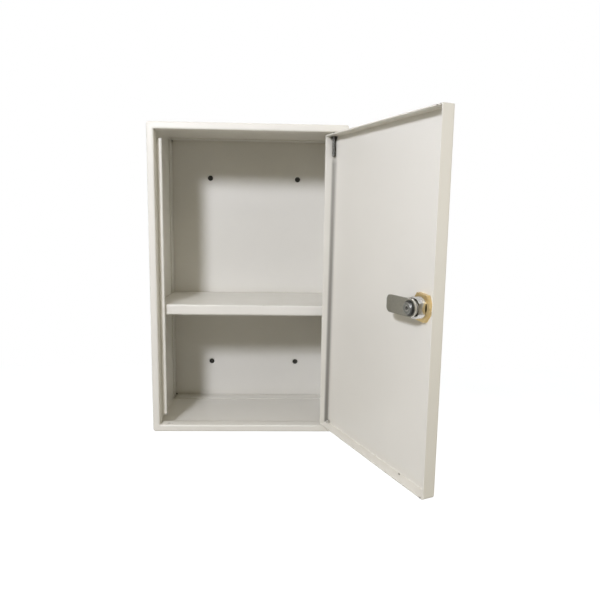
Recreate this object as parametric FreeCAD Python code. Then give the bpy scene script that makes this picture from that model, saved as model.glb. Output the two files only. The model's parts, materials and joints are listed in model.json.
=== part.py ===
import FreeCAD, Part
import math
import os

# First aid cabinet: a wall cabinet of folded sheet steel with one shelf, an inset door on two
# pivot pins and a cam lock. Millimetres. X to the right, Y towards the wall, Z up, with the
# origin in the middle of the four wall holes, on the plane of the wall.
# The door is modelled shut and then swung open about its pivots.

# Carcass
width = 220.0
height = 350.0
depth = 135.0
sheet = 1.0
corner_bend = 3.0
edge_bend = 1.6
border = 8.0
lip_width = 6.0
lip_end_gap = 8.0
lip_corner = 1.0

# Back panel
back_flange = 18.0
corner_relief = 2.5
wall_hole_diameter = 7.0
wall_hole_pitch_x = 116.0
wall_hole_pitch_z = 250.0

# Shelf
shelf_top = -27.5
shelf_setback = 17.0
shelf_flange = 12.0
shelf_clearance = 0.3

# Door
door_sheet = 1.0
door_depth = 12.5
door_inside_bend = 0.8
door_corner = 3.0
hinge_gap = 4.5
latch_gap = 2.5
top_gap = 3.0
bottom_gap = 1.0
stop_gap = 0.3
seam_width = 0.5
seam_length = 6.0
open_angle = 113.0

# Pivot pins
pin_diameter = 4.0
pin_chamfer = 0.4
pin_seat = 0.2
running_clearance = 0.08
press_clearance = 0.02
upper_pin_rise = 3.5
upper_pin_length = 30.0
lower_pin_rise = 3.5
collar_diameter = 6.0
lower_pin_tail = 1.5
collar_clearance = 0.1

# Lock: housing, nut and plug
lock_inset = 26.5
lock_height = -1.5
housing_diameter = 18.8
housing_flat_depth = 1.2
housing_hole_clearance = 0.15
bezel_overhang = 1.6
bezel_height = 2.8
bezel_chamfer = 1.0
nut_wall = 2.6
nut_height = 4.0
nut_first_corner = -6.0
nut_chamfer = 0.4
housing_wall = 2.9
plug_shoulder_width = 1.0
plug_head_height = 1.6
plug_recess = 0.3
plug_float = 0.1
axial_play = 0.3
keyway_width = 2.0
keyway_height = 8.0
keyway_depth = 11.0
tail_step = 3.0
tail_clearance = 0.05
tail_setback = 0.2
wafer_count = 5
wafer_pitch = 1.7
wafer_thickness = 1.0
wafer_width = 4.8
wafer_end_clearance = 0.3
wafer_slot_clearance = 0.05
wafer_window_width = 2.6
wafer_window_height = 6.4
first_wafer_depth = 0.4

# Lock: stop washer, cam and screw
stop_washer_thickness = 1.2
stop_lug_setback = 0.2
stop_lug_clearance = 0.4
stop_notch_clearance = 0.7
stop_lug_angle = 24.0
stop_margin_angle = 3.0
lock_turn = 180.0
cam_clearance = 0.4
cam_width = 16.0
cam_thickness = 2.0
cam_reach = 35.0
cam_tip_corner = 5.0
spring_washer_diameter = 13.6
spring_washer_clearance = 0.2
spring_washer_thickness = 1.2
spring_washer_gap = 1.2
tail_wall = 1.0
screw_length = 6.5
screw_head_diameter = 12.6
screw_end_diameter = 10.4
screw_head_height = 1.8
screw_rim_height = 0.6
screw_socket_flats = 3.6
screw_socket_depth = 1.2
tapping_depth = 7.0

# Worked out from the sizes above
front = -depth
opening_width = width - 2 * border
opening_height = height - 2 * border
lip_front = front + door_depth + stop_gap
return_back = lip_front + sheet
door_width = opening_width - hinge_gap - latch_gap
door_height = opening_height - top_gap - bottom_gap
door_bottom = -opening_height / 2 + bottom_gap
door_top = opening_height / 2 - top_gap
door_left = -opening_width / 2 + latch_gap
door_right = opening_width / 2 - hinge_gap
pivot_inset = door_sheet + pin_seat + pin_diameter / 2
pivot_x = door_right - pivot_inset
pivot_y = front + pivot_inset
lock_x = door_left + lock_inset
housing_flats = housing_diameter - 2 * housing_flat_depth
bezel_diameter = housing_diameter + 2 * bezel_overhang
nut_flats = housing_diameter + 2 * nut_wall
plug_diameter = housing_diameter - 2 * housing_wall
plug_head_diameter = plug_diameter + 2 * plug_shoulder_width
stop_washer_diameter = housing_flats
stop_lug_outer_diameter = stop_washer_diameter - 2 * stop_lug_setback
stop_lug_inner_diameter = plug_diameter + 2 * stop_lug_clearance
stop_notch_diameter = stop_lug_inner_diameter - 2 * stop_notch_clearance
tail_flats = plug_diameter - 2 * tail_step
screw_diameter = tail_flats - 2 * tail_wall
spring_washer_bore = screw_diameter + 2 * spring_washer_clearance
cam_depth = door_depth + stop_gap + sheet + cam_clearance
stop_washer_depth = cam_depth - stop_washer_thickness
housing_depth = stop_washer_depth - axial_play
spring_washer_depth = cam_depth + cam_thickness
screw_head_depth = spring_washer_depth + spring_washer_thickness
plug_face = -bezel_height + plug_recess
plug_shoulder = plug_face + plug_head_height

AXIS_X = FreeCAD.Vector(1, 0, 0)
AXIS_Y = FreeCAD.Vector(0, 1, 0)
AXIS_Z = FreeCAD.Vector(0, 0, 1)
ORIGIN = FreeCAD.Vector(0, 0, 0)
TOLERANCE = 1e-4
PAST = 1.0


# Building helpers


def box(x0, x1, y0, y1, z0, z1):
    return Part.makeBox(x1 - x0, y1 - y0, z1 - z0, FreeCAD.Vector(x0, y0, z0))


def rod(diameter, z0, z1, x=0.0, y=0.0):
    return Part.makeCylinder(diameter / 2, z1 - z0, FreeCAD.Vector(x, y, z0))


def turned(profile):
    """Solid of revolution about Z from (radius, height) points"""
    points = [FreeCAD.Vector(radius, 0, level) for radius, level in profile]
    wire = Part.makePolygon(points + points[:1])
    return Part.Face(wire).revolve(ORIGIN, AXIS_Z, 360)


def prism(points, z0, z1):
    """Straight prism over (x, y) points"""
    corners = [FreeCAD.Vector(x, y, z0) for x, y in points]
    face = Part.Face(Part.makePolygon(corners + corners[:1]))
    return face.extrude(FreeCAD.Vector(0, 0, z1 - z0))


def sector(radius, angle, middle, z0, z1):
    """Pie slice of a disc about Z, angle wide, with its middle at the given direction"""
    disc = Part.makeCylinder(radius, z1 - z0, FreeCAD.Vector(0, 0, z0), AXIS_Z, angle)
    disc.rotate(ORIGIN, AXIS_Z, middle - angle / 2)
    return disc


def in_plane(edges, direction, offset):
    """Edges that lie in the plane of points p with p . direction = offset"""
    def lies_in(edge):
        return all(abs(p.dot(direction) - offset) < TOLERANCE for p in edge.discretize(3))
    return [edge for edge in edges if lies_in(edge)]


def along(edges, direction):
    """Straight edges parallel to the direction"""
    def runs_along(edge):
        start, end = edge.firstVertex().Point, edge.lastVertex().Point
        return (end - start).cross(direction).Length < TOLERANCE
    return [edge for edge in edges if runs_along(edge)]


def within(edges, half_x, half_z):
    """Edges no further from the Y axis than the given half sizes"""
    def fits(bounds):
        reach_x = max(-bounds.XMin, bounds.XMax)
        reach_z = max(-bounds.ZMin, bounds.ZMax)
        return reach_x < half_x + TOLERANCE and reach_z < half_z + TOLERANCE
    return [edge for edge in edges if fits(edge.BoundBox)]


def rounded_block(block, lower_side, top, bend, lower_corner):
    """Rounds the edges of a block's top and, given a radius, its two upright edges on the lower side"""
    if lower_corner > 0:
        block = block.makeFillet(lower_corner, along(in_plane(block.Edges, AXIS_Y, lower_side), AXIS_Z))
    return block.makeFillet(bend, in_plane(block.Edges, AXIS_Z, top))


def folded_tray(size_x, size_y, flange, thickness, outside_bend, lower_corner=0.0):
    """Sheet web with its outer face on Z = 0 and four flanges folded to Z = -flange"""
    half_x, half_y = size_x / 2, size_y / 2
    outer = box(-half_x, half_x, -half_y, half_y, -flange, 0)
    outer = rounded_block(outer, -half_y, 0, outside_bend, lower_corner)
    room_x, room_y = half_x - thickness, half_y - thickness
    inner = box(-room_x, room_x, -room_y, room_y, -flange - PAST, -thickness)
    inner = rounded_block(inner, -room_y, -thickness, outside_bend - thickness, lower_corner - thickness)
    return outer.cut(inner)


def face_front(shape):
    """Turns a tray's web from +Z to face -Y, away from the wall"""
    shape.rotate(ORIGIN, AXIS_X, 90)
    return shape


def face_back(shape):
    """Turns +Z to +Y, towards the wall"""
    shape.rotate(ORIGIN, AXIS_X, -90)
    return shape


def on_lock_axis(shape):
    """Sets a piece made about Z on the lock's axis, with Z = 0 on the door's outer face"""
    face_back(shape)
    shape.translate(FreeCAD.Vector(lock_x, front, lock_height))
    return shape


# Carcass: a sheet folded into four walls, each with a border and a return at the front


def make_carcass():
    half_x, half_z = width / 2, height / 2
    outer = box(-half_x, half_x, front, 0, -half_z, half_z)
    outer = outer.makeFillet(corner_bend, along(outer.Edges, AXIS_Y))
    outer = outer.makeFillet(edge_bend, in_plane(outer.Edges, AXIS_Y, front))
    room_x, room_z = half_x - sheet, half_z - sheet
    inner = box(-room_x, room_x, front + sheet, PAST, -room_z, room_z)
    inner = inner.makeFillet(corner_bend - sheet, along(inner.Edges, AXIS_Y))
    inner = inner.makeFillet(edge_bend - sheet, in_plane(inner.Edges, AXIS_Y, front + sheet))
    shell = outer.cut(inner)

    open_x, open_z = opening_width / 2, opening_height / 2
    ring_x, ring_z = open_x + sheet, open_z + sheet
    ring = box(-ring_x, ring_x, front + sheet / 2, return_back, -ring_z, ring_z)
    opening = box(-open_x, open_x, front - PAST, PAST, -open_z, open_z)
    carcass = shell.fuse(ring).cut(opening).removeSplitter()
    inside_edges = within(in_plane(carcass.Edges, AXIS_Y, front + sheet), ring_x, ring_z)
    carcass = carcass.makeFillet(edge_bend - sheet, inside_edges)
    rim = within(in_plane(carcass.Edges, AXIS_Y, front), open_x, open_z)
    carcass = carcass.makeFillet(edge_bend, rim)

    carcass = carcass.fuse(make_lip()).removeSplitter()
    fold = in_plane(in_plane(carcass.Edges, AXIS_X, -open_x), AXIS_Y, lip_front)
    carcass = carcass.makeFillet(edge_bend - sheet, fold)

    upper_hole = rod(pin_diameter + 2 * running_clearance, open_z - PAST, ring_z + PAST, pivot_x, pivot_y)
    lower_hole = rod(pin_diameter + 2 * press_clearance, -ring_z - PAST, -open_z + PAST, pivot_x, pivot_y)
    return carcass.cut(upper_hole).cut(lower_hole)


def make_lip():
    """Strike lip that stands in from the lock side's return, with its two free corners rounded"""
    half_z = opening_height / 2 - lip_end_gap
    free_edge = -opening_width / 2 + lip_width
    lip = box(-opening_width / 2 - sheet, free_edge, lip_front, return_back, -half_z, half_z)
    corners = in_plane(along(lip.Edges, AXIS_Y), AXIS_X, free_edge)
    return lip.makeFillet(lip_corner, corners)


# Back panel and shelf: folded trays that are welded into the carcass


def make_back_panel():
    size_x, size_z = width - 2 * sheet, height - 2 * sheet
    panel = face_back(folded_tray(size_x, size_z, back_flange, sheet, edge_bend))
    relief = box(-corner_relief, corner_relief, -back_flange - PAST, PAST, -corner_relief, corner_relief)
    hole = face_back(rod(wall_hole_diameter, -sheet - PAST, PAST))
    for side in (-1, 1):
        for end in (-1, 1):
            corner = FreeCAD.Vector(side * size_x / 2, 0, end * size_z / 2)
            panel = panel.cut(relief.translated(corner))
            hole_place = FreeCAD.Vector(side * wall_hole_pitch_x / 2, 0, end * wall_hole_pitch_z / 2)
            panel = panel.cut(hole.translated(hole_place))
    return panel


def make_shelf():
    size_x = width - 2 * sheet - 2 * shelf_clearance
    shelf_front = front + shelf_setback
    shelf_back = -sheet - shelf_clearance
    size_y = shelf_back - shelf_front
    shelf = folded_tray(size_x, size_y, shelf_flange, sheet, edge_bend)
    shelf.translate(FreeCAD.Vector(0, (shelf_front + shelf_back) / 2, shelf_top))
    notch_x = width / 2 - 2 * sheet - shelf_clearance
    notch_front = -back_flange - shelf_clearance
    notch_bottom = shelf_top - shelf_flange - PAST
    for x0, x1 in ((-width, -notch_x), (notch_x, width)):
        shelf = shelf.cut(box(x0, x1, notch_front, PAST, notch_bottom, shelf_top + PAST))
    return shelf


# Door: a folded tray that shuts flush inside the border


def make_door_panel():
    outside_bend = door_sheet + door_inside_bend
    door = folded_tray(door_width, door_height, door_depth, door_sheet, outside_bend, door_corner)
    for side in (-1, 1):
        butt = side * (door_width / 2 - door_sheet)
        x0, x1 = sorted((butt, butt - side * seam_width))
        seam = box(x0, x1, -door_height, door_height, -door_depth - PAST, -door_depth + seam_length)
        web_side = box(x0, x1, -door_height / 2 + 2 * door_sheet, door_height / 2 - 2 * door_sheet,
                       -door_depth - PAST, 0)
        door = door.cut(seam.cut(web_side))
    door = face_front(door)
    door.translate(FreeCAD.Vector((door_left + door_right) / 2, front, (door_top + door_bottom) / 2))

    through_bend = outside_bend + PAST
    upper_hole = rod(pin_diameter + 2 * press_clearance, door_top - through_bend, door_top + PAST,
                     pivot_x, pivot_y)
    lower_hole = rod(pin_diameter + 2 * running_clearance, door_bottom - PAST, door_bottom + through_bend,
                     pivot_x, pivot_y)
    lock_hole = on_lock_axis(flatted_rod(housing_hole_clearance, -PAST, door_sheet + PAST))
    return door.cut(upper_hole).cut(lower_hole).cut(lock_hole)


# Pivot pins: the upper one turns with the door, the lower one is pressed into the carcass


def make_upper_pivot_pin():
    top = opening_height / 2 + sheet + upper_pin_rise
    bottom = top - upper_pin_length
    radius = pin_diameter / 2
    pin = turned([(0, bottom), (radius - pin_chamfer, bottom), (radius, bottom + pin_chamfer),
                  (radius, top - pin_chamfer), (radius - pin_chamfer, top), (0, top)])
    return pin.translate(FreeCAD.Vector(pivot_x, pivot_y, 0))


def make_lower_pivot_pin():
    seat = -opening_height / 2
    top = door_bottom + door_sheet + lower_pin_rise
    bottom = seat - sheet - lower_pin_tail
    collar_top = door_bottom - collar_clearance
    radius = pin_diameter / 2
    pin = turned([(0, bottom), (radius - pin_chamfer, bottom), (radius, bottom + pin_chamfer),
                  (radius, seat), (collar_diameter / 2, seat), (collar_diameter / 2, collar_top),
                  (radius, collar_top), (radius, top - pin_chamfer), (radius - pin_chamfer, top), (0, top)])
    return pin.translate(FreeCAD.Vector(pivot_x, pivot_y, 0))


# Lock pieces are made about Z, with Z = 0 on the door's outer face and +X towards the hinge


def flatted_rod(clearance, z0, z1):
    """Round bar with two flats, as the lock housing and its hole in the door have"""
    half_flats = housing_flats / 2 + clearance
    bar = rod(housing_diameter + 2 * clearance, z0, z1)
    return bar.common(box(-half_flats, half_flats, -housing_diameter, housing_diameter, z0, z1))


def make_lock_housing():
    radius = bezel_diameter / 2
    bezel = turned([(0, 0), (radius, 0), (radius, -bezel_height + bezel_chamfer),
                    (radius - bezel_chamfer, -bezel_height), (0, -bezel_height)])
    housing = bezel.fuse(flatted_rod(0, 0, housing_depth))
    bore = rod(plug_diameter + 2 * running_clearance, -bezel_height - PAST, housing_depth + PAST)
    head_room = plug_head_diameter + 2 * running_clearance
    counterbore = rod(head_room, -bezel_height - PAST, plug_shoulder + plug_float)
    housing = housing.cut(bore).cut(counterbore)
    lug_top = cam_depth - axial_play
    lug = sector(stop_lug_outer_diameter / 2, stop_lug_angle, 90, housing_depth - PAST, lug_top)
    lug = lug.cut(rod(stop_lug_inner_diameter, 0, lug_top))
    return on_lock_axis(housing.fuse(lug).removeSplitter())


def hexagon(flats, first_corner):
    """Corner points of a hexagon by its size over the flats"""
    radius = flats / math.sqrt(3)
    angles = [math.radians(first_corner + 60 * k) for k in range(6)]
    return [(radius * math.cos(angle), radius * math.sin(angle)) for angle in angles]


def make_lock_nut():
    corner_radius = nut_flats / math.sqrt(3)
    low, high = door_sheet, door_sheet + nut_height
    nut = prism(hexagon(nut_flats, nut_first_corner), low, high)
    bevel = nut_chamfer / 2
    chamfered = turned([(0, low), (corner_radius - nut_chamfer, low), (corner_radius, low + bevel),
                        (corner_radius, high - bevel), (corner_radius - nut_chamfer, high), (0, high)])
    thread = rod(housing_diameter + 2 * press_clearance, 0, high + PAST)
    return on_lock_axis(nut.common(chamfered).cut(thread))


def wafer_depths():
    return [first_wafer_depth + wafer_pitch * k for k in range(wafer_count)]


def make_lock_plug():
    body_radius, head_radius = plug_diameter / 2, plug_head_diameter / 2
    plug = turned([(0, plug_face), (head_radius, plug_face), (head_radius, plug_shoulder),
                   (body_radius, plug_shoulder), (body_radius, stop_washer_depth), (0, stop_washer_depth)])
    half_tail = tail_flats / 2
    tail_end = spring_washer_depth - tail_setback
    plug = plug.fuse(box(-half_tail, half_tail, -half_tail, half_tail, stop_washer_depth - PAST, tail_end))
    plug = plug.cut(rod(screw_diameter + 2 * press_clearance, tail_end - tapping_depth, tail_end + PAST))
    plug = plug.cut(box(-keyway_width / 2, keyway_width / 2, -keyway_height / 2, keyway_height / 2,
                        plug_face - PAST, plug_face + keyway_depth))
    slot_x = wafer_width / 2 + wafer_slot_clearance
    slot_z = wafer_thickness / 2 + wafer_slot_clearance
    for level in wafer_depths():
        plug = plug.cut(box(-slot_x, slot_x, -plug_diameter, plug_diameter, level - slot_z, level + slot_z))
    return on_lock_axis(plug.removeSplitter())


def make_lock_wafers():
    wafers = []
    half_x, half_z = wafer_width / 2, wafer_thickness / 2
    window_x, window_y = wafer_window_width / 2, wafer_window_height / 2
    for level in wafer_depths():
        strip = box(-half_x, half_x, -plug_diameter, plug_diameter, level - half_z, level + half_z)
        wafer = rod(plug_diameter - 2 * wafer_end_clearance, level - half_z, level + half_z).common(strip)
        wafer = wafer.cut(box(-window_x, window_x, -window_y, window_y, level - PAST, level + PAST))
        wafers.append(on_lock_axis(wafer))
    return Part.makeCompound(wafers)


def square_hole(z0, z1):
    half = tail_flats / 2 + tail_clearance
    return box(-half, half, -half, half, z0 - PAST, z1 + PAST)


def make_stop_washer():
    low, high = stop_washer_depth, cam_depth
    washer = rod(stop_washer_diameter, low, high)
    notch_angle = lock_turn + stop_lug_angle + 2 * stop_margin_angle
    notch = sector(stop_washer_diameter, notch_angle, 180, low - PAST, high + PAST)
    notch = notch.cut(rod(stop_notch_diameter, low - PAST, high + PAST))
    return on_lock_axis(washer.cut(notch).cut(square_hole(low, high)))


def make_lock_cam():
    half = cam_width / 2
    low, high = cam_depth, spring_washer_depth
    bar = box(0, cam_reach, -half, half, low, high)
    bar = bar.makeFillet(cam_tip_corner, along(in_plane(bar.Edges, AXIS_X, cam_reach), AXIS_Z))
    cam = bar.fuse(rod(cam_width, low, high)).removeSplitter()
    return on_lock_axis(cam.cut(square_hole(low, high)))


def make_cam_spring_washer():
    low, high = spring_washer_depth, screw_head_depth
    washer = rod(spring_washer_diameter, low, high).cut(rod(spring_washer_bore, low - PAST, high + PAST))
    half_gap = spring_washer_gap / 2
    split = box(0, spring_washer_diameter, -half_gap, half_gap, low - PAST, high + PAST)
    return on_lock_axis(washer.cut(split))


def make_cam_screw():
    shank_radius = screw_diameter / 2
    head_radius, end_radius = screw_head_diameter / 2, screw_end_diameter / 2
    low, high = screw_head_depth, screw_head_depth + screw_head_height
    tip = low - spring_washer_thickness - screw_length
    screw = turned([(0, tip), (shank_radius - pin_chamfer, tip), (shank_radius, tip + pin_chamfer),
                    (shank_radius, low), (head_radius, low), (head_radius, low + screw_rim_height),
                    (end_radius, high), (0, high)])
    socket = prism(hexagon(screw_socket_flats, 0), high - screw_socket_depth, high + PAST)
    return on_lock_axis(screw.cut(socket))


# Assembly: the fixed pieces as they stand, the door's pieces swung open about the pivots


def swung_open(shape):
    shape.rotate(FreeCAD.Vector(pivot_x, pivot_y, 0), AXIS_Z, open_angle)
    return shape


fixed_pieces = {
    "carcass": make_carcass(),
    "back_panel": make_back_panel(),
    "shelf": make_shelf(),
    "lower_pivot_pin": make_lower_pivot_pin(),
}
door_pieces = {
    "door_panel": make_door_panel(),
    "upper_pivot_pin": make_upper_pivot_pin(),
    "lock_housing": make_lock_housing(),
    "lock_nut": make_lock_nut(),
    "lock_plug": make_lock_plug(),
    "lock_wafers": make_lock_wafers(),
    "stop_washer": make_stop_washer(),
    "lock_cam": make_lock_cam(),
    "cam_spring_washer": make_cam_spring_washer(),
    "cam_screw": make_cam_screw(),
}
for name, shape in door_pieces.items():
    door_pieces[name] = swung_open(shape)

os.makedirs("parts", exist_ok=True)
for name, shape in {**fixed_pieces, **door_pieces}.items():
    if not shape.isValid():
        raise ValueError(name + " is not a valid solid")
    shape.exportStep("parts/" + name + ".step")
    print(name, len(shape.Solids), "solid(s),", round(shape.Volume / 1000, 2), "cm3")
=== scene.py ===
import json
import math

import bpy
from mathutils import Matrix, Vector


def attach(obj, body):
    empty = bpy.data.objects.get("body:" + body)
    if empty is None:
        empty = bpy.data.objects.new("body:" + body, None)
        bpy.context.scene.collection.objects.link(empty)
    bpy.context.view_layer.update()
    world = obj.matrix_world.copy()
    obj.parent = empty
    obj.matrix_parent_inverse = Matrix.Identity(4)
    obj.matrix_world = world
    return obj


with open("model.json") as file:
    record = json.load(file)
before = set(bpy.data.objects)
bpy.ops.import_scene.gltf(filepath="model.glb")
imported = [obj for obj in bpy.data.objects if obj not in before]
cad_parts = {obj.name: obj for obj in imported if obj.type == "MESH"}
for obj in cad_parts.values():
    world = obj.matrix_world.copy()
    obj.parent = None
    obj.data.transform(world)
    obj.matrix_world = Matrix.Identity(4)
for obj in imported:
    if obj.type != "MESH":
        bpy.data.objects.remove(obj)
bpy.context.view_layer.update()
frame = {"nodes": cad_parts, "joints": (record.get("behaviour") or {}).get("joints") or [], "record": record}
scene = bpy.context.scene
MM = 0.001
joints = {joint["name"]: joint for joint in frame["joints"]}


# Shader helpers


class Shader:
    """A node material with the object's own coordinates, which are the frame's at rest"""

    def __init__(self, name, **settings):
        self.material = bpy.data.materials.new(name)
        self.material.use_nodes = True
        self.tree = self.material.node_tree
        self.bsdf = self.tree.nodes["Principled BSDF"]
        place = self.add("ShaderNodeTexCoord")
        self.coordinates, self.own_normal = place.outputs["Object"], place.outputs["Normal"]
        for socket, value in settings.items():
            self.bsdf.inputs[socket.replace("_", " ")].default_value = value

    def add(self, kind, **settings):
        node = self.tree.nodes.new(kind)
        for key, value in settings.items():
            setattr(node, key, value)
        return node

    def link(self, output, socket):
        self.tree.links.new(output, socket)

    def noise(self, scale, detail=2.0, stretch=(1.0, 1.0, 1.0), shift=(0.0, 0.0, 0.0)):
        mapping = self.add("ShaderNodeMapping")
        mapping.inputs["Scale"].default_value = stretch
        mapping.inputs["Location"].default_value = shift
        self.link(self.coordinates, mapping.inputs["Vector"])
        noise = self.add("ShaderNodeTexNoise")
        noise.inputs["Scale"].default_value = scale
        noise.inputs["Detail"].default_value = detail
        self.link(mapping.outputs["Vector"], noise.inputs["Vector"])
        return noise.outputs[0]

    def ramp(self, value, *stops):
        """Colour over a value, from (position, colour) stops"""
        ramp = self.add("ShaderNodeValToRGB")
        elements = ramp.color_ramp.elements
        while len(elements) < len(stops):
            elements.new(1.0)
        for element, (position, colour) in zip(elements, stops):
            element.position = position
            element.color = (*colour, 1.0)
        self.link(value, ramp.inputs[0])
        return ramp.outputs["Color"]

    def spread(self, value, low, high, from_low=0.3, from_high=0.7, smooth=False):
        """A band of the value, from_low to from_high, spread from low to high"""
        spread = self.add("ShaderNodeMapRange")
        if smooth:
            spread.interpolation_type = "SMOOTHSTEP"
        spread.inputs["From Min"].default_value = from_low
        spread.inputs["From Max"].default_value = from_high
        spread.inputs["To Min"].default_value = low
        spread.inputs["To Max"].default_value = high
        self.link(value, spread.inputs["Value"])
        return spread.outputs["Result"]

    def mix(self, factor, first, second):
        mix = self.add("ShaderNodeMix", data_type="RGBA")
        self.link(factor, mix.inputs[0])
        for value, socket in ((first, mix.inputs[6]), (second, mix.inputs[7])):
            if isinstance(value, tuple):
                socket.default_value = (*value, 1.0)
            else:
                self.link(value, socket)
        return mix.outputs[2]

    def combine(self, operation, *values):
        total = values[0]
        for value in values[1:]:
            node = self.add("ShaderNodeMath", operation=operation)
            self.link(total, node.inputs[0])
            self.link(value, node.inputs[1])
            total = node.outputs[0]
        return total

    def length(self, vector):
        node = self.add("ShaderNodeVectorMath", operation="LENGTH")
        self.link(vector, node.inputs[0])
        return node.outputs["Value"]

    def along(self, vector, direction):
        """The vector's part along a fixed direction"""
        node = self.add("ShaderNodeVectorMath", operation="DOT_PRODUCT")
        node.inputs[1].default_value = direction
        self.link(vector, node.inputs[0])
        return node.outputs["Value"]

    def bump(self, height, distance, under=None):
        bump = self.add("ShaderNodeBump")
        bump.inputs["Distance"].default_value = distance
        self.link(height, bump.inputs["Height"])
        if under is not None:
            self.link(under, bump.inputs["Normal"])
        return bump.outputs["Normal"]

    def rounded(self, radius, samples=4):
        """The surface's normal with its edges rounded off"""
        bevel = self.add("ShaderNodeBevel", samples=samples)
        bevel.inputs["Radius"].default_value = radius
        return bevel.outputs["Normal"]

    def edges(self, radius, low, high):
        """0 on flat faces rising to 1 along outside edges and bends"""
        geometry = self.add("ShaderNodeNewGeometry")
        dot = self.add("ShaderNodeVectorMath", operation="DOT_PRODUCT")
        self.link(self.rounded(radius), dot.inputs[0])
        self.link(geometry.outputs["Normal"], dot.inputs[1])
        return self.spread(dot.outputs["Value"], 1.0, 0.0, low, high)

    def corners(self, distance):
        """1 in the open falling to 0 deep in corners"""
        occlusion = self.add("ShaderNodeAmbientOcclusion", samples=4)
        occlusion.inputs["Distance"].default_value = distance
        return occlusion.outputs["AO"]

    def local(self, origin, turn=0.0, reach=(1.0, 1.0, 1.0)):
        """Millimetres from an origin, along axes turned about Z and divided by a reach"""
        mapping = self.add("ShaderNodeMapping", vector_type="TEXTURE")
        mapping.inputs["Location"].default_value = Vector(origin) * MM
        mapping.inputs["Rotation"].default_value = (0.0, 0.0, turn)
        mapping.inputs["Scale"].default_value = Vector(reach) * MM
        self.link(self.coordinates, mapping.inputs["Vector"])
        return mapping.outputs["Vector"]

    def axes(self, vector):
        split = self.add("ShaderNodeSeparateXYZ")
        self.link(vector, split.inputs[0])
        return split.outputs["X"], split.outputs["Y"], split.outputs["Z"]

    def spots(self, marks):
        """1 inside small ragged marks, each a place and its half sizes in millimetres"""
        ragged = self.spread(self.noise(1600.0, 3.0), -0.4, 0.4)
        masks = []
        for place, reach in marks:
            distance = self.combine("ADD", self.length(self.local(place, reach=reach)), ragged)
            masks.append(self.spread(distance, 1.0, 0.0, 0.6, 1.1))
        return self.combine("MAXIMUM", *masks)

    def set(self, **sockets):
        for socket, output in sockets.items():
            self.link(output, self.bsdf.inputs[socket.replace("_", " ")])
        return self.material


# Painted steel: colours are linear, and places and half sizes are in millimetres

PAINT = (0.755, 0.737, 0.680)
# Dust and painted shade: corners darken and warm towards this tint, over this reach
DUST_AND_SHADE_TINT = (0.86, 0.83, 0.76)
DUST_AND_SHADE_REACH = 0.010
# Thin paint and a painted highlight make edges and bends a little lighter, within this reach
EDGE_WEAR_AND_HIGHLIGHT = 0.7 * MM
# Chip colour, the dark line in the hinge-side bend, and painted shade round the upper pin under the door's
# top flange
CHIPPED, DARK_LINE_TONE, PIN_SHADE_TONE = (0.16, 0.15, 0.13), (0.028, 0.024, 0.020), (0.040, 0.036, 0.030)
COAT_ROUGHNESS = (0.28, 0.37)
PEEL_SCALE, PEEL_HEIGHT = 700.0, 0.045 * MM

CARCASS_IOR, DOOR_IOR = 1.33, 1.40
CARCASS_SHIFT, DOOR_SHIFT = (0.0, 0.0, 0.0), (3.1, 1.7, 0.4)
CARCASS_ROUNDING = 3.2 * MM
CARCASS_CHIPS = (
    ((-92.5, -128.8, -167.0), (2.4, 0.7, 0.5)),
    ((-88.6, -129.4, -167.0), (0.8, 0.4, 0.5)),
)
DOOR_CHIPS = (
    ((159.5, -309.2, -165.4), (1.0, 1.0, 0.8)),
    ((160.8, -312.2, -162.4), (0.6, 0.6, 0.9)),
    ((151.0, -264.8, -164.9), (0.9, 2.4, 0.5)),
    ((158.6, -307.0, 163.4), (0.8, 1.6, 0.4)),
    ((160.2, -311.0, 163.7), (0.7, 1.2, 0.4)),
)

# A dark line in the door's hinge-side bend, darker towards the bottom, measured from the bend's inner corner
BEND_FROM_PIN = (1.17, 2.88)
DOOR_TURN = math.radians(-67.0)
LINE_ACROSS = (0.43, 0.77, -0.0074)
LINE_RISE, LINE_FALL = (-4.6, -2.1), (-1.1, 2.4)
LINE_FOOT, LINE_HEAD = (-164.4, -163.2), (134.0, 145.0)
SKIN_SIDE, FLANGE_SIDE = (-0.6, -0.3), (0.3, 0.6)
LINE_DEPTH, LINE_DEPTH_SPAN = (0.74, 0.52), (-165.0, 130.0)

# Painted shade under the door's top flange, round the upper pin
PIN_LEVEL = 163.0
PIN_SHADE_REACH = (4.6, 4.6, 5.0)


def tinted(colour, *factors):
    factors = factors * 3 if len(factors) == 1 else factors
    return tuple(min(1.0, c * f) for c, f in zip(colour, factors))


def powder_coat(shader, shift, chips):
    """Satin powder coat: slow drifts of tone, dust and painted shade in corners, thin paint and a painted
    highlight on edges and bends, chips
    """
    drift = shader.noise(9.0, 3.0, shift=shift)
    tone = shader.ramp(drift, (0.35, tinted(PAINT, 0.980)), (0.65, tinted(PAINT, 1.012)))
    # Dust and painted shade: corners found by occlusion are darkened and warmed
    dust_and_shade = shader.spread(shader.corners(DUST_AND_SHADE_REACH), 0.40, 0.0, 0.35, 0.95)
    tone = shader.mix(dust_and_shade, tone, tinted(PAINT, *DUST_AND_SHADE_TINT))
    # Thin paint and a painted highlight: edges and bends a little lighter
    worn_and_lit = shader.edges(EDGE_WEAR_AND_HIGHLIGHT, 0.80, 0.97)
    tone = shader.mix(worn_and_lit, tone, tinted(PAINT, 1.04))
    return shader.mix(shader.spots(chips), tone, CHIPPED)


def coat_surface(shader, tone, shift, under=None):
    """Gloss and orange peel"""
    roughness = shader.spread(shader.noise(60.0, 4.0, shift=shift), *COAT_ROUGHNESS)
    peel = shader.bump(shader.noise(PEEL_SCALE, 2.0, shift=shift), PEEL_HEIGHT, under=under)
    return shader.set(Base_Color=tone, Roughness=roughness, Normal=peel)


def carcass_paint():
    """The carcass's coat, which makes its bends rounder than the sheet's"""
    shader = Shader("carcass_powder_coat", IOR=CARCASS_IOR)
    tone = powder_coat(shader, CARCASS_SHIFT, CARCASS_CHIPS)
    return coat_surface(shader, tone, CARCASS_SHIFT, shader.rounded(CARCASS_ROUNDING, 8))


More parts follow.
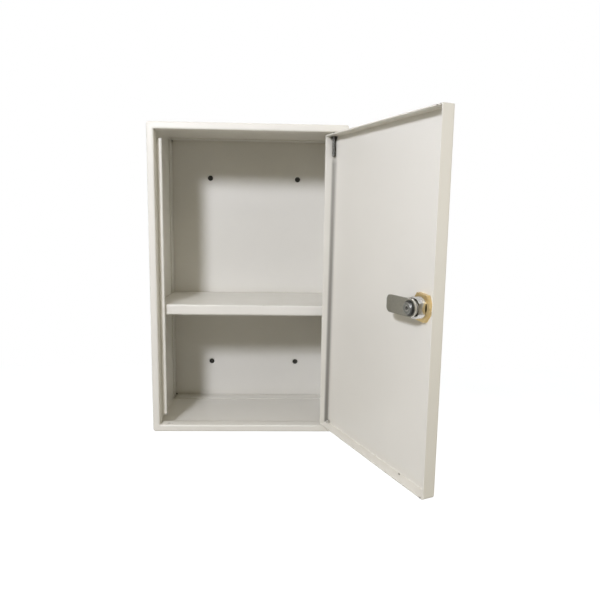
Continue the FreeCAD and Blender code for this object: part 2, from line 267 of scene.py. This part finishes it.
def door_paint():
    """The door's coat, darkened along a line in the hinge-side bend and with painted shade round the upper
    pin under the top flange
    """
    shader = Shader("door_powder_coat", IOR=DOOR_IOR)
    tone = powder_coat(shader, DOOR_SHIFT, DOOR_CHIPS)

    pin_x, pin_y = (c / MM for c in joints["door_hinge"]["pos_m"][:2])
    bend = (pin_x + BEND_FROM_PIN[0], pin_y + BEND_FROM_PIN[1], 0.0)
    place = shader.local(bend, DOOR_TURN)
    along_skin, past_skin, height = shader.axes(place)
    offset = shader.along(place, LINE_ACROSS)
    dark_line = shader.combine(
        "MULTIPLY",
        shader.spread(offset, 0.0, 1.0, *LINE_RISE, smooth=True),
        shader.spread(offset, 1.0, 0.0, *LINE_FALL, smooth=True),
        shader.spread(along_skin, 0.0, 1.0, *SKIN_SIDE),
        shader.spread(past_skin, 1.0, 0.0, *FLANGE_SIDE),
        shader.spread(height, 1.0, 0.0, *LINE_HEAD),
        shader.spread(height, 0.0, 1.0, *LINE_FOOT),
        shader.spread(height, *LINE_DEPTH, *LINE_DEPTH_SPAN),
    )
    # The line in the hinge-side bend is darkened, more towards the bottom
    tone = shader.mix(dark_line, tone, DARK_LINE_TONE)

    # Painted shade under the top flange round the upper pin
    pin = shader.local((pin_x, pin_y, PIN_LEVEL), reach=PIN_SHADE_REACH)
    below_flange = shader.spread(shader.axes(pin)[2], 1.0, 0.0, 0.06, 0.10)
    pin_shade = shader.spread(shader.length(pin), 0.9, 0.0, 0.55, 1.15)
    tone = shader.mix(shader.combine("MULTIPLY", pin_shade, below_flange), tone, PIN_SHADE_TONE)
    return coat_surface(shader, tone, DOOR_SHIFT)


# Metals

CAM_RIM = (8.6, 9.4)
SCREW_SPAN = 8.0
SCREW_TONES = (
    (0.20, (0.03, 0.03, 0.03)),
    (0.25, (0.50, 0.49, 0.45)),
    (0.36, (0.24, 0.24, 0.22)),
    (0.60, (0.30, 0.30, 0.28)),
    (0.64, (0.44, 0.43, 0.40)),
    (0.68, (0.07, 0.07, 0.065)),
)
SCREW_SOOT = (0.10, 0.10, 0.09)
FLATTENED = 1e6

lock_place = Vector(joints["lock_turn"]["pos_m"])
outward = Vector(joints["lock_turn"]["axis"]).normalized()


def lock_radius(shader):
    """Millimetres from the lock's axis"""
    turn = math.atan2(outward.y, outward.x)
    return shader.length(shader.local(lock_place / MM, turn, (FLATTENED, 1.0, 1.0)))


def dark_screw():
    """Blackened screw: a scuffed grey end face round a dark socket, darker down its sides"""
    shader = Shader("dark_steel", Metallic=1.0)
    radius = shader.spread(lock_radius(shader), 0.0, 1.0, 0.0, SCREW_SPAN)
    tone = shader.ramp(radius, *SCREW_TONES)
    tone = shader.mix(shader.spread(shader.noise(520.0, 4.0), 0.0, 0.55), tone, SCREW_SOOT)
    gloss = shader.spread(shader.noise(700.0, 3.0), 0.36, 0.52)
    lines = shader.bump(shader.noise(1800.0, 2.0), 0.02 * MM)
    return shader.set(Base_Color=tone, Roughness=gloss, Normal=lines)


def metal(name, colour, roughness, grain, stretch, dull, below=None, groove_shade=None, rim_highlight=None):
    """Plated or bare metal: drawn grain, patchy gloss and brighter edges

    It has another tone low down where one is given, painted shade in its grooves where one is given, and a
    painted highlight on the rim of the cam's round end where one is given.
    """
    shader = Shader(name, Metallic=1.0)
    patches = shader.noise(420.0, 3.0)
    tone = shader.ramp(patches, (0.32, tinted(colour, dull)), (0.68, colour))
    if below:
        height = shader.axes(shader.local((0.0, 0.0, 0.0)))[2]
        tone = shader.mix(shader.spread(height, 1.0, 0.0, -10.0, 10.0), tone, below)
    # Painted shade in the grooves, found by occlusion
    if groove_shade:
        shaded_grooves = shader.spread(shader.corners(0.5 * MM), 0.95, 0.0, 0.45, 0.92)
        tone = shader.mix(shaded_grooves, tone, groove_shade)
    # Painted highlight on the side faces near the lock's axis, round the cam's end
    if rim_highlight:
        facing = shader.along(shader.own_normal, outward)
        sides = shader.spread(shader.combine("MULTIPLY", facing, facing), 1.0, 0.0, 0.2, 0.6)
        near = shader.spread(lock_radius(shader), 1.0, 0.0, *CAM_RIM)
        tone = shader.mix(shader.combine("MULTIPLY", near, sides), tone, rim_highlight)
    tone = shader.mix(shader.edges(0.35 * MM, 0.75, 0.97), tone, tinted(colour, 1.25))
    gloss = shader.spread(shader.noise(700.0, 3.0), *roughness)
    lines = shader.bump(shader.noise(grain, 2.0, stretch), 0.008 * MM)
    return shader.set(Base_Color=tone, Roughness=gloss, Normal=lines)


finishes = {
    "carcass_paint": carcass_paint(),
    "door_paint": door_paint(),
    "pin_steel": metal(
        "drawn_steel", (0.095, 0.092, 0.083), (0.20, 0.32), 2500.0, (1, 1, 0.04), 0.75,
        below=(0.55, 0.54, 0.51),
    ),
    "lock_nickel": metal(
        "nickel_plate", (0.64, 0.63, 0.61), (0.10, 0.20), 1800.0, (1, 1, 1), 0.86,
        groove_shade=(0.07, 0.065, 0.06),
    ),
    "nut_brass": metal(
        "yellow_passivate", (0.70, 0.54, 0.27), (0.28, 0.40), 1500.0, (1, 1, 1), 0.93,
    ),
    "wafer_brass": metal(
        "stamped_brass", (0.76, 0.58, 0.27), (0.25, 0.40), 2000.0, (1, 1, 0.2), 0.88,
    ),
    "cam_zinc": metal(
        "dull_zinc", (0.31, 0.30, 0.255), (0.34, 0.46), 1600.0, (1, 1, 0.15), 0.90,
        rim_highlight=(0.85, 0.84, 0.80),
    ),
    "screw_dark": dark_screw(),
}
for entry in frame["record"]["subparts"]:
    mesh = frame["nodes"][entry["node"]].data
    mesh.materials.clear()
    mesh.materials.append(finishes[entry["material_slot"]])


# The thread of the lock's housing, in the lock's own axes at rest, from its joint

STEPS_PER_TURN, FADE_STEPS = 96, 12
SUNK = 0.03
RIDGE_FOOT, RIDGE_CREST = 0.46, 0.08

to_hinge = Vector((0, 0, 1)).cross(outward)
lock_frame = Matrix((to_hinge, (0, 0, -1), -outward)).transposed().to_4x4()
lock_frame.translation = lock_place


def add_mesh(name, points, faces, material):
    mesh = bpy.data.meshes.new(name)
    mesh.from_pydata(points, [], faces)
    mesh.update()
    mesh.materials.append(material)
    piece = bpy.data.objects.new(name, mesh)
    scene.collection.objects.link(piece)
    return piece


def thread(name, radius, height, pitch, start, end, half_flats, body, slot):
    """Helical ridge round the lock's axis that fades where the two flats are"""
    count = int((end - start) / pitch * STEPS_PER_TURN)
    points, faces = [], []
    for step in range(count + 1):
        angle = 2 * math.pi * step / STEPS_PER_TURN
        level = start + pitch * step / STEPS_PER_TURN
        flat = half_flats / max(abs(math.cos(angle)), 1e-6)
        fade = min(1.0, step / FADE_STEPS, (count - step) / FADE_STEPS)
        base = min(radius, flat) - SUNK
        crest = min(radius + height * fade, flat - SUNK)
        profile = (
            (base, -RIDGE_FOOT), (crest, -RIDGE_CREST), (crest, RIDGE_CREST), (base, RIDGE_FOOT),
        )
        for reach, offset in profile:
            x, y = reach * math.cos(angle), reach * math.sin(angle)
            points.append(lock_frame @ (Vector((x, y, level + offset * pitch)) * MM))
        if step:
            low, high = 4 * step - 4, 4 * step
            faces += [(low + k, low + k + 1, high + k + 1, high + k) for k in range(3)]
    ridge = add_mesh(name, points, faces, finishes[slot])
    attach(ridge, body)


thread("housing_thread", radius=9.4, height=0.28, pitch=1.0, start=5.3, end=12.3,
       half_flats=8.2, body="door", slot="lock_nickel")


# Staging: discs behind the wall holes and corner reliefs, where a wall would be, in millimetres; they are
# painted shade, dark behind the holes and lower reliefs and a lighter grey behind the upper ones

HOLE_X, HOLE_Z, HOLE_BACK = 58.0, 125.0, 3.48
RELIEF_X, RELIEF_Z, RELIEF_BACK = 107.2, 172.2, 2.2
BACK_LEVEL, BACK_SIDES = -0.1, 32


# Each disc is painted shade, toned between its dark and light colours
def shade_discs(name, discs, dark, light):
    points, faces = [], []
    for x, z, radius in discs:
        first = len(points)
        for k in range(BACK_SIDES):
            angle = 2 * math.pi * k / BACK_SIDES
            rim_x, rim_z = x + radius * math.cos(angle), z + radius * math.sin(angle)
            points.append(Vector((rim_x, BACK_LEVEL, rim_z)) * MM)
        faces.append(tuple(range(first, first + BACK_SIDES)))
    shader = Shader(name, Roughness=0.9)
    tone = shader.ramp(shader.noise(300.0), (0.3, dark), (0.7, light))
    add_mesh(name, points, faces, shader.set(Base_Color=tone))


shade_discs(
    "hole_shade_discs",
    [(x, z, HOLE_BACK) for x in (-HOLE_X, HOLE_X) for z in (-HOLE_Z, HOLE_Z)],
    (0.020, 0.019, 0.014), (0.040, 0.038, 0.030),
)
shade_discs(
    "upper_relief_shade_discs",
    [(x, RELIEF_Z, RELIEF_BACK) for x in (-RELIEF_X, RELIEF_X)],
    (0.50, 0.49, 0.45), (0.56, 0.55, 0.51),
)
shade_discs(
    "lower_relief_shade_discs",
    [(x, -RELIEF_Z, RELIEF_BACK) for x in (-RELIEF_X, RELIEF_X)],
    (0.09, 0.09, 0.07), (0.13, 0.13, 0.11),
)


# Camera, fitted to the photograph

FOCAL_PIXELS, PICTURE = 552.06, 600.0
SENSOR = 36.0
CAMERA_PLACE = (37.52, -755.29, 72.25)

yaw, pitch, roll = (math.radians(a) for a in (1.992, 8.288, 0.87))
forward = Vector((
    math.sin(yaw) * math.cos(pitch), math.cos(yaw) * math.cos(pitch), -math.sin(pitch),
))
right = Vector((math.cos(yaw), -math.sin(yaw), 0.0))
above = right.cross(forward)
camera_x = right * math.cos(roll) + above * math.sin(roll)
camera_y = above * math.cos(roll) - right * math.sin(roll)
camera_data = bpy.data.cameras.new("camera")
camera_data.sensor_width = SENSOR
camera_data.lens = FOCAL_PIXELS / PICTURE * SENSOR
camera_data.clip_start, camera_data.clip_end = 0.05, 20.0
camera = bpy.data.objects.new("camera", camera_data)
camera.matrix_world = Matrix((camera_x, camera_y, -forward)).transposed().to_4x4()
camera.location = Vector(CAMERA_PLACE) * MM
scene.collection.objects.link(camera)
scene.camera = camera


# Lamps: a key up and to the left of the camera, and weaker, larger ones round the cabinet

WARM = (1.0, 0.945, 0.81)
COOL = (0.93, 0.935, 1.0)
BLUISH = (0.88, 0.90, 1.0)
LAMPS = {
    "key_lamp": ((-0.296, -0.931, 0.454), 0.15, 7.15, BLUISH),
    "top_fill": ((0.0, -0.80, 1.30), 0.80, 2.00, COOL),
    "left_fill": ((-1.30, -0.70, 0.10), 0.80, 2.40, COOL),
    "right_fill": ((1.30, -0.70, 0.10), 0.80, 2.90, WARM),
    "upper_right_fill": ((0.90, -1.00, 0.90), 0.50, 1.90, WARM),
    "rear_fill": ((0.0, 1.80, 0.70), 1.00, 10.0, COOL),
}
CABINET_MIDDLE = Vector((0.0, -0.07, 0.0))


def disc_lamp(name, place, diameter, power, colour):
    lamp_data = bpy.data.lights.new(name, "AREA")
    lamp_data.shape = "DISK"
    lamp_data.size = diameter
    lamp_data.energy = power
    lamp_data.color = colour
    lamp = bpy.data.objects.new(name, lamp_data)
    lamp.location = place
    lamp.rotation_mode = "QUATERNION"
    lamp.rotation_quaternion = (CABINET_MIDDLE - lamp.location).to_track_quat("-Z", "Y")
    scene.collection.objects.link(lamp)


for lamp_name, (place, diameter, power, colour) in LAMPS.items():
    disc_lamp(lamp_name, place, diameter, power, colour)


# Surround: warm and weak where it lights the part, white where it is seen

SKY, GROUND = (0.440, 0.388, 0.255), (0.080, 0.073, 0.052)
SKY_SPAN = (0.0, 0.9)


def seen_rays(tree):
    """1 for the rays that show the background: the camera's, and those through gloss and glass"""
    path = tree.nodes.new("ShaderNodeLightPath")
    seen = path.outputs["Is Camera Ray"]
    for kind in ("Is Glossy Ray", "Is Transmission Ray"):
        either = tree.nodes.new("ShaderNodeMath")
        either.operation = "MAXIMUM"
        tree.links.new(seen, either.inputs[0])
        tree.links.new(path.outputs[kind], either.inputs[1])
        seen = either.outputs[0]
    return seen


world = bpy.data.worlds.new("surround")
world.use_nodes = True
scene.world = world
tree = world.node_tree
tree.nodes.clear()
output = tree.nodes.new("ShaderNodeOutputWorld")
mix = tree.nodes.new("ShaderNodeMixShader")
direction = tree.nodes.new("ShaderNodeTexCoord")
split = tree.nodes.new("ShaderNodeSeparateXYZ")
level = tree.nodes.new("ShaderNodeMapRange")
level.inputs["From Min"].default_value, level.inputs["From Max"].default_value = SKY_SPAN
shade = tree.nodes.new("ShaderNodeValToRGB")
shade.color_ramp.elements[0].color = (*GROUND, 1.0)
shade.color_ramp.elements[1].color = (*SKY, 1.0)
surround = tree.nodes.new("ShaderNodeBackground")
backdrop = tree.nodes.new("ShaderNodeBackground")
backdrop.inputs["Color"].default_value = (1.0, 1.0, 1.0, 1.0)
tree.links.new(direction.outputs["Generated"], split.inputs[0])
tree.links.new(split.outputs["Z"], level.inputs["Value"])
tree.links.new(level.outputs["Result"], shade.inputs[0])
tree.links.new(shade.outputs["Color"], surround.inputs["Color"])
tree.links.new(seen_rays(tree), mix.inputs[0])
tree.links.new(surround.outputs[0], mix.inputs[1])
tree.links.new(backdrop.outputs[0], mix.inputs[2])
tree.links.new(mix.outputs[0], output.inputs[0])


# Pale floor, lit like the part, with a glow that makes it white where it is seen

FLOOR_LEVEL, FLOOR_HALF = -0.95, 3.0
FLOOR_GLOW, GLOW_TINT = 0.82, (0.86, 0.91, 1.0, 1.0)

floor_shader = Shader("pale_floor", Roughness=0.9, Emission_Color=GLOW_TINT)
floor_tone = floor_shader.ramp(
    floor_shader.noise(3.0), (0.3, (0.72, 0.71, 0.69)), (0.7, (0.76, 0.75, 0.73)),
)
glow = floor_shader.spread(seen_rays(floor_shader.tree), 0.0, FLOOR_GLOW, 0.0, 1.0)
floor_material = floor_shader.set(Base_Color=floor_tone, Emission_Strength=glow)
corners = [
    (x * FLOOR_HALF, y * FLOOR_HALF, FLOOR_LEVEL) for x, y in ((-1, -1), (1, -1), (1, 1), (-1, 1))
]
add_mesh("floor", corners, [(0, 1, 2, 3)], floor_material)

scene.view_settings.view_transform = "Standard"
